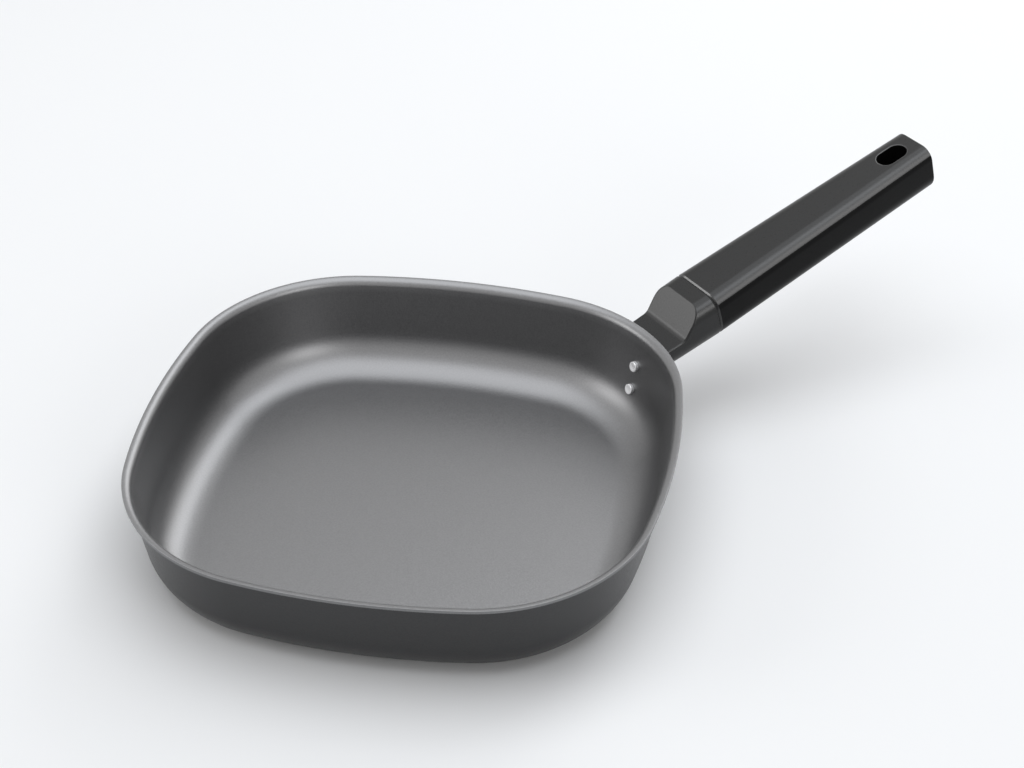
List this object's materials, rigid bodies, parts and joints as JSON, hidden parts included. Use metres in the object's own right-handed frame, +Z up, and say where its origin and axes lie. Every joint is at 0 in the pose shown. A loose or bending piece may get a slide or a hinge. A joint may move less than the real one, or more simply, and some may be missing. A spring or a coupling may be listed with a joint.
{
  "type": "frying pan",
  "caption": "Square frying pan of pressed iron with rounded corners and a curled lip; a riveted neck and a straight grip with a hang slot rise from one corner.",
  "frame": {"origin": "centre of the flat base's underside", "axes": "+Z up out of the pan, +X towards the corner that carries the handle, +Y to the left seen from behind the handle"},
  "size_m": [0.4706, 0.2874, 0.1073],
  "materials": {
    "iron": "satin grey",
    "rivet_steel": "satin",
    "plated_steel": "zinc plated",
    "ferrule_enamel": "satin black",
    "grip_black": "satin black",
    "gasket_rubber": "matt black"
  },
  "bodies": {
    "root": {"pan_body": "iron", "rivet_upper": "rivet_steel", "rivet_lower": "rivet_steel", "handle_bracket": "plated_steel", "ferrule": "ferrule_enamel", "ferrule_gasket": "gasket_rubber", "grip": "grip_black", "tang_nut": "plated_steel", "flat_washer": "plated_steel", "spring_washer": "plated_steel", "grip_screw": "plated_steel"}
  },
  "joints": []
}
